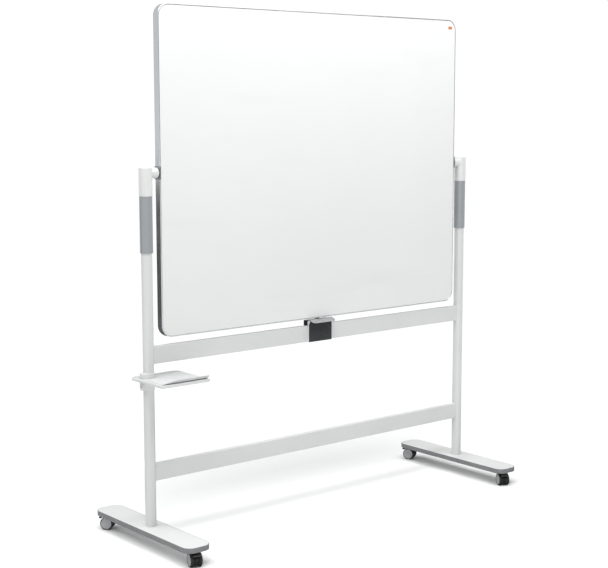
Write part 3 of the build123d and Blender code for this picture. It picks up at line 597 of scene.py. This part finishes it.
for corner, (sx, sy, angle) in CORNERS.items():
    place = Matrix.Translation((sx * post_x, sy * CASTOR_Y, 0)) @ Matrix.Rotation(math.radians(angle), 4, "Z")
    made = [("housing", castor_housing(), f"castor_{corner}", "black_plastic"),
            ("pedal", castor_pedal(), f"pedal_{corner}", "black_plastic")]
    for wheel, side in (("a", -1), ("b", 1)):
        made.append((f"tyre_{wheel}", castor_tyre(side), f"wheel_{wheel}_{corner}", "tyre_black"))
        made.append((f"hub_{wheel}", castor_hub(side), f"wheel_{wheel}_{corner}", "hub_grey"))
    for part, bm, body, slot in made:
        piece(f"{corner}_{part}", moved(bm, place), body, slot, f"castor_{part}_{corner}")

# ---------------------------------------------------------------- latch
# Drawn about its own middle, then moved along the beam.
cover = Span("latch_cover")
housing = Span("latch_housing")
beam = Span("upper_beam")
to_latch = Matrix.Translation((cover.x, 0, 0))
PIN = (-17.0, 764.0)
EAR_T = 5.0
EAR_R = 4.5
half_w = cover.w / 2
ear_inner = half_w - EAR_T
barrel_half = ear_inner - 0.7
side_view = [(cover.y1, beam.z0), (beam.y0, beam.z0), (beam.y0, beam.z1), (housing.y0 - 0.02, beam.z1),
             (housing.y0 - 0.02, cover.z1), (cover.y1, cover.z1)]
saddle_parts = [extruded(side_view, -half_w, half_w, "X", 0.6)]
ear = [(PIN[0] + EAR_R * math.cos(math.radians(a)), PIN[1] + EAR_R * math.sin(math.radians(a)))
       for a in range(12, 229, 12)]
ear = [(housing.y0 - 0.05, cover.z1 - 2), (housing.y0 - 0.05, PIN[1]), *ear, (cover.y1 + 0.02, cover.z1 - 2)]
for side in SIDES:
    saddle_parts.append(extruded(ear, side * ear_inner, side * half_w, "X", 0.5))
piece("latch_saddle_body", moved(merged(*saddle_parts), to_latch), "base", "white_plastic", "latch_saddle")

plate = extruded([(u, cover.z + v) for u, v in rounded_rect(cover.w, cover.h, 2.5, 6)],
                 cover.y0, cover.y1, "Y", 0.5)
piece("latch_cover_plate", moved(plate, to_latch), "base", "black_gloss", "latch_cover")

box = upright(housing.w, housing.d, 2.5, [(0.3, housing.z0), (0.0, housing.z0 + 0.3), (0.0, housing.z1 - 1.2),
                                          (0.35, housing.z1 - 0.35), (1.2, housing.z1)], 0, housing.y, 6)
end_panels = [block(side * (half_w - 0.8), side * (half_w + 1), housing.y0 + 6, housing.y1 - 6,
                    housing.z0 + 5, housing.z1 - 5) for side in SIDES]
box = boolean(box, "DIFFERENCE", block(-8.5, 8.5, -5.5, 5.5, housing.z0 + 1, housing.z1 + 1),
              block(-5, 5, housing.y0 - 1, -5, cover.z1 - 3, housing.z1 + 1), *end_panels)
piece("latch_housing_box", moved(box, to_latch), "base", "black_plastic", "latch_housing")

LEVER_T = 2.4
LEVER_CORNER = 10.0
flap_line = arc_points((-48.5, 760.9), (-34.0, 769.4), (-16.5, 771.8), 22)
rows = []
for y, z in flap_line:
    into = min(y - flap_line[0][0], LEVER_CORNER)
    half = half_w - LEVER_CORNER + math.sqrt(LEVER_CORNER**2 - (LEVER_CORNER - into)**2)
    rows.append([(half * (column / 12 - 1), y, z) for column in range(25)])
flap = sheet_of(rows, LEVER_T, 0.6)
web = block(-barrel_half, barrel_half, PIN[0] - 1.2, PIN[0] + 1.2, PIN[1], flap_line[-1][1] - 0.4)
barrel = turned([(3.6, -barrel_half), (4.0, 0.4 - barrel_half), (4.0, barrel_half - 0.4), (3.6, barrel_half)],
                "X", PIN, 32)
tail = extruded([(-17, 763), (0, 760.3), (0, 762.3), (-17, 765)], -4, 4, "X", 0.3)
tip = turned([(1.5, -4), (1.5, 4)], "X", (0, 761.3), 20)
piece("latch_lever_flap", moved(merged(flap, web, barrel, tail, tip), to_latch), "latch_lever", "satin_alloy",
      "latch_lever")

# ---------------------------------------------------------------- tray
tray = Span("tray_base")
insert = Span("tray_insert")
PLATE_Z = (622.0, 633.0)
RECESS = 2.0
TRAY_CORNERS = (24.0, 9.0)
COLLAR = (-841.0, -786.5, 45.0, 20.0)
collar_x = (COLLAR[0] + COLLAR[1]) / 2
tray_profile = [(6.0, PLATE_Z[1] - 4.5), (6.0, PLATE_Z[0]), (4.0, PLATE_Z[0]), (2.0, PLATE_Z[0] + 0.55),
                (0.6, PLATE_Z[0] + 2.0), (0.0, PLATE_Z[0] + 4.0), (0.0, PLATE_Z[1] - 1.4),
                (0.4, PLATE_Z[1] - 0.4), (1.4, PLATE_Z[1]), (7.2, PLATE_Z[1]), (7.8, PLATE_Z[1] - 0.25),
                (8.0, PLATE_Z[1] - 0.8), (8.0, PLATE_Z[1] - RECESS)]
plate = upright(tray.w, tray.d, TRAY_CORNERS, tray_profile, tray.x, tray.y, 12)
collar_profile = [(2.0, tray.z0), (0.9, tray.z0 + 0.25), (0.25, tray.z0 + 0.9), (0.0, tray.z0 + 2),
                  (0.0, tray.z1 - 2), (0.25, tray.z1 - 0.9), (0.9, tray.z1 - 0.25), (2.0, tray.z1)]
collar = upright(COLLAR[1] - COLLAR[0], COLLAR[2], COLLAR[3], collar_profile, collar_x, 0, 14)
passage = upright(post_half * 2 + 0.6, post_half * 2 + 0.6, POST_CORNER + 0.3,
                  [(0.0, tray.z0 - 5), (0.0, tray.z1 + 5)], -post_x, 0, 12)
grub = turned([(3.0, COLLAR[0] - 1), (3.0, -post_x)], "X", (0, tray.z0 + 14), 24)
plate = boolean(boolean(plate, "UNION", collar), "DIFFERENCE", passage, grub)
piece("tray_base_plate", plate, "tray", "white_plastic", "tray_base")

SHEET_T = 2.5
sheet_z = insert.z0 + SHEET_T / 2
bend = -140.0
lip_line = arc_points((bend, sheet_z), (-151.0, 636.8), (-158.8, 647.2), 14)
lip_rise = lip_line[-1][1] - sheet_z
stations = [(insert.y1 - v, sheet_z) for v in (0, 0.6, 2.0, 4.5, 8.0, 14.0, 24, 40, 60, 90, 120, 150, 170)]
rows = []
for y, z in stations + lip_line:
    from_back = min(insert.y1 - y, 14.0)
    cut = 14.0 - math.sqrt(14.0**2 - (14.0 - from_back)**2)
    rise = (z - sheet_z) / lip_rise
    left = insert.x0 + cut + 60 * (1 - max(1 - rise**2, 0.0)**0.6)
    right = insert.x1 - cut - 4 * (1 - rise)
    rows.append([(left + (right - left) * column / 24, y, z) for column in range(25)])
sheet = sheet_of(rows, SHEET_T, 0.5)
hole = upright(COLLAR[1] - COLLAR[0] + 2, COLLAR[2] + 2, COLLAR[3] + 1,
               [(0.0, insert.z0 - 4), (0.0, insert.z0 + 9)], collar_x, 0, 14)
piece("tray_insert_sheet", boolean(sheet, "DIFFERENCE", hole), "tray", "tray_sheet", "tray_insert")

# ---------------------------------------------------------------- floor, lights and camera
FLOOR_R = 40.0


def studio_piece(name, bm, material):
    """An object of the studio, which isn't part of the whiteboard."""
    mesh = bpy.data.meshes.new(name)
    bm.to_mesh(mesh)
    bm.free()
    obj = bpy.data.objects.new(name, mesh)
    bpy.context.scene.collection.objects.link(obj)
    obj.data.materials.append(material)
    return obj


pale = finish("studio_floor", (0.93, 0.93, 0.93), (0.945, 0.945, 0.945), (0.9, 1.0), (40.0, 0.0001),
              specular=0.0, blotch=0.5)
floor_bm = bmesh.new()
bmesh.ops.create_circle(floor_bm, cap_ends=True, segments=96, radius=FLOOR_R)
floor = studio_piece("floor", floor_bm, pale)

# Dark studio flags, seen only in reflections: behind on the left, in front on the right, and on the floor.
cloth = finish("dark_cloth", (0.06, 0.062, 0.062), (0.075, 0.078, 0.078), (0.8, 0.9), (300.0, 0.0002))
for name, low, high in (("flag_back", (-4100, 3095, 0), (-1600, 3105, 1170)),
                        ("flag_front", (900, -3005, 20), (4300, -2995, 2500)),
                        ("flag_floor", (-4100, -600, 1), (2200, 3090, 4))):
    flag_bm = moved(block(low[0], high[0], low[1], high[1], low[2], high[2], 1.0), Matrix.Scale(MM, 4))
    flag = studio_piece(name, flag_bm, cloth)
    flag.visible_camera = False
    flag.visible_diffuse = False
    flag.visible_shadow = False

# A wide strip above the board's front lights its top most.
STRIP_PLACE = Vector((-0.2, -1.35, 3.0))
STRIP_AIM = Vector((-0.2, 0, 1.9))
strip_data = bpy.data.lights.new("key_strip", "AREA")
strip_data.shape = "RECTANGLE"
strip_data.size = 4.0
strip_data.size_y = 0.8
strip_data.energy = 40.0
strip = bpy.data.objects.new("key_strip", strip_data)
strip.location = STRIP_PLACE
strip.rotation_euler = (STRIP_AIM - STRIP_PLACE).to_track_quat("-Z", "Y").to_euler()
strip.visible_camera = False
bpy.context.scene.collection.objects.link(strip)

SUN_DIRECTION = Vector((0.33, 0.06, -0.94))
sun_data = bpy.data.lights.new("overhead", "SUN")
sun_data.energy = 2.8
sun_data.angle = math.radians(60)
sun = bpy.data.objects.new("overhead", sun_data)
sun.rotation_euler = SUN_DIRECTION.to_track_quat("-Z", "Y").to_euler()
bpy.context.scene.collection.objects.link(sun)

# The world is white to the camera, dim as a light, and midway between the two in reflections.
world = bpy.data.worlds.new("studio")
world.use_nodes = True
bpy.context.scene.world = world
world_nodes = world.node_tree.nodes
world_links = world.node_tree.links
background = world_nodes["Background"]
background.inputs["Color"].default_value = (0.97, 0.985, 1.0, 1.0)
background.inputs["Strength"].default_value = 0.24
bright = world_nodes.new("ShaderNodeBackground")
bright.inputs["Color"].default_value = (1.0, 1.0, 1.0, 1.0)
bright.inputs["Strength"].default_value = 1.05
path = world_nodes.new("ShaderNodeLightPath")
choose = world_nodes.new("ShaderNodeMixShader")
seen = world_nodes.new("ShaderNodeMath")
seen.operation = "MULTIPLY_ADD"
seen.inputs[1].default_value = 0.5
world_links.new(path.outputs["Is Glossy Ray"], seen.inputs[0])
world_links.new(path.outputs["Is Camera Ray"], seen.inputs[2])
world_links.new(seen.outputs[0], choose.inputs[0])
world_links.new(background.outputs[0], choose.inputs[1])
world_links.new(bright.outputs[0], choose.inputs[2])
world_links.new(choose.outputs[0], world_nodes["World Output"].inputs["Surface"])

CAMERA_PLACE = (-3.426, -4.0305, 1.5975)
CAMERA_YAW = 39.763
CAMERA_PITCH = -7.418
CAMERA_ROLL = -0.075
CAMERA_LENS = 79.06
camera_data = bpy.data.cameras.new("camera")
camera_data.sensor_width = 36.0
camera_data.sensor_fit = "HORIZONTAL"
camera_data.lens = CAMERA_LENS
camera = bpy.data.objects.new("camera", camera_data)
camera.matrix_world = (Matrix.Translation(CAMERA_PLACE) @ Matrix.Rotation(math.radians(-CAMERA_YAW), 4, "Z")
                       @ Matrix.Rotation(math.radians(90 + CAMERA_PITCH), 4, "X")
                       @ Matrix.Rotation(math.radians(CAMERA_ROLL), 4, "Z"))
bpy.context.scene.collection.objects.link(camera)
bpy.context.scene.camera = camera
bpy.context.scene.view_settings.view_transform = "Standard"
